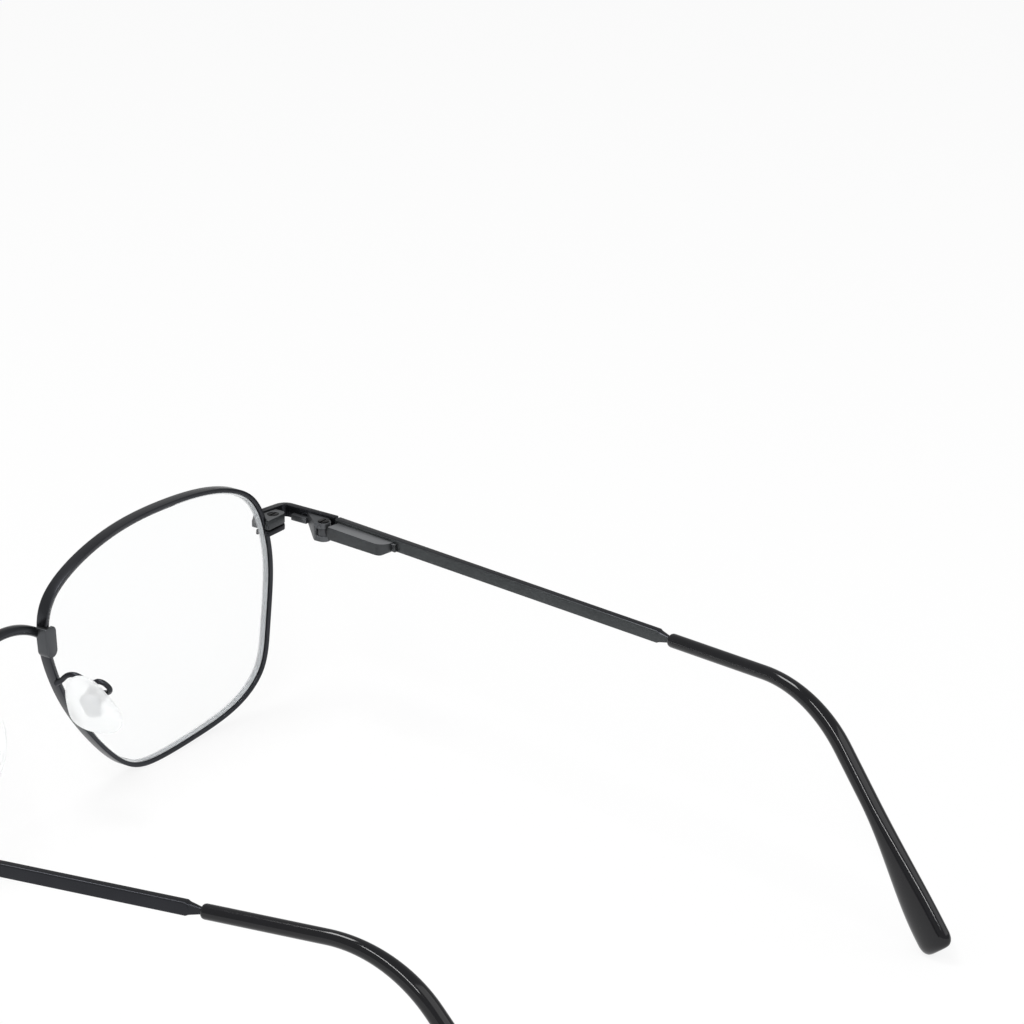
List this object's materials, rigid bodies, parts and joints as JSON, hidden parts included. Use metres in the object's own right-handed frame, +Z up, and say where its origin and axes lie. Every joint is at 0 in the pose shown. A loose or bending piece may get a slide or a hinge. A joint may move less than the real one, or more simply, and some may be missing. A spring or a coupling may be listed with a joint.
{
  "type": "eyeglass frame",
  "caption": "Full-rim metal glasses with clear lenses, sprung temple hinges, soft nose pads and ear pieces with black sleeves.",
  "frame": {"origin": "middle of the footprint, on the table the glasses stand on", "axes": "+X to the wearer's left, +Y from the lenses back along the temples, +Z up; stored open, standing on the rims and temple ends"},
  "size_m": [0.1322, 0.1386, 0.0414],
  "materials": {
    "metal": "dark satin gunmetal",
    "lens": "clear",
    "screw": "dark",
    "steel": "bright",
    "sleeve": "gloss",
    "pad": "clear silicone"
  },
  "bodies": {
    "front": {"bridge": "metal", "right_rim": "metal", "right_lens": "lens", "right_closing_block_upper": "metal", "right_closing_block_lower": "metal", "right_closing_screw": "screw", "right_end_piece": "metal", "right_hinge_fork": "metal", "right_hinge_screw": "screw", "right_pad_arm": "metal", "right_pad_box": "metal", "right_pad_screw": "screw", "left_rim": "metal", "left_lens": "lens", "left_closing_block_upper": "metal", "left_closing_block_lower": "metal", "left_closing_screw": "screw", "left_end_piece": "metal", "left_hinge_fork": "metal", "left_hinge_screw": "screw", "left_pad_arm": "metal", "left_pad_box": "metal", "left_pad_screw": "screw"},
    "right_piston": {"right_spring_piston": "steel"},
    "right_temple": {"right_temple_blade": "metal", "right_temple_tip": "sleeve", "right_spring_case": "metal", "right_spring_retainer": "steel", "right_hinge_spring": "steel"},
    "right_pad": {"right_nose_pad": "pad", "right_pad_insert": "steel"},
    "left_piston": {"left_spring_piston": "steel"},
    "left_temple": {"left_temple_blade": "metal", "left_temple_tip": "sleeve", "left_spring_case": "metal", "left_spring_retainer": "steel", "left_hinge_spring": "steel"},
    "left_pad": {"left_nose_pad": "pad", "left_pad_insert": "steel"}
  },
  "joints": [
    {"name": "right_temple_fold", "type": "hinge", "parent": "front", "child": "right_piston", "pos_m": [-0.0635, -0.05611, 0.03075], "axis": [0, 0, -1], "range_deg": [-10, 80.8]},
    {"name": "right_spring_travel", "type": "slide", "parent": "right_piston", "child": "right_temple", "axis": [0.1564, 0.9874, 0.0244], "range_m": [0, 0.0014], "stiffness_N_per_m": 1500, "springref_m": -0.001, "deforming": ["right_hinge_spring"]},
    {"name": "right_pad_rock", "type": "hinge", "parent": "front", "child": "right_pad", "pos_m": [-0.01306, -0.06084, 0.01905], "axis": [0.3149, -0.9336, -0.171], "range_deg": [-8, 8]},
    {"name": "left_temple_fold", "type": "hinge", "parent": "front", "child": "left_piston", "pos_m": [0.0635, -0.05611, 0.03075], "axis": [0, 0, 1], "range_deg": [-10, 75.3]},
    {"name": "left_spring_travel", "type": "slide", "parent": "left_piston", "child": "left_temple", "axis": [-0.1564, 0.9874, 0.0244], "range_m": [0, 0.0014], "stiffness_N_per_m": 1500, "springref_m": -0.001, "deforming": ["left_hinge_spring"]},
    {"name": "left_pad_rock", "type": "hinge", "parent": "front", "child": "left_pad", "pos_m": [0.01306, -0.06084, 0.01905], "axis": [0.3149, 0.9336, 0.171], "range_deg": [-8, 8]}
  ]
}
